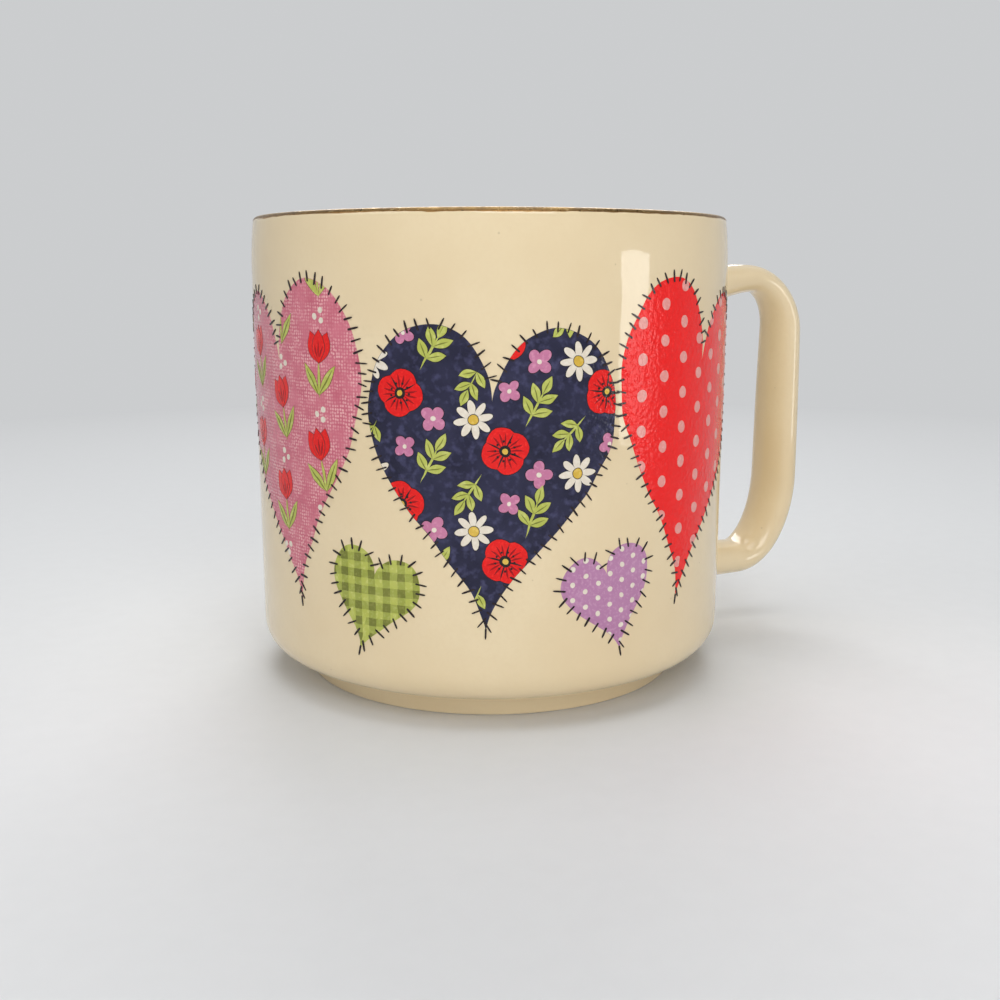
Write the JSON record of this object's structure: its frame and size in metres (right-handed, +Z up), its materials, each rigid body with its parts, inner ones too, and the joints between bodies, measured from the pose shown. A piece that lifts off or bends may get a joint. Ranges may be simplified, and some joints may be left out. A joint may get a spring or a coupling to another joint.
{
  "type": "ceramic mug",
  "caption": "Straight-sided glazed ceramic mug with a squared ear handle, gilded lip, foot ring and printed patchwork-heart transfers.",
  "frame": {"origin": "middle of the footprint, handle included, on the surface that the mug stands on", "axes": "+X from the mug towards its handle, +Z up through the mouth"},
  "size_m": [0.1088, 0.0824, 0.0782],
  "materials": {
    "cream_glaze": "glossy cream glaze",
    "fired_slip": "glossy cream glaze over fired slip",
    "fired_gold": "thin fired gold, worn",
    "rose_print": "fired transfer print",
    "navy_print": "fired transfer print",
    "red_print": "fired transfer print",
    "lime_print": "fired transfer print",
    "lilac_print": "fired transfer print"
  },
  "bodies": {
    "root": {"mug_body": "cream_glaze", "handle": "cream_glaze", "handle_slip_upper": "fired_slip", "handle_slip_lower": "fired_slip", "rim_gilding": "fired_gold", "transfer_rose_heart": "rose_print", "transfer_navy_heart": "navy_print", "transfer_red_heart": "red_print", "transfer_lime_heart": "lime_print", "transfer_lilac_heart": "lilac_print"}
  },
  "joints": []
}
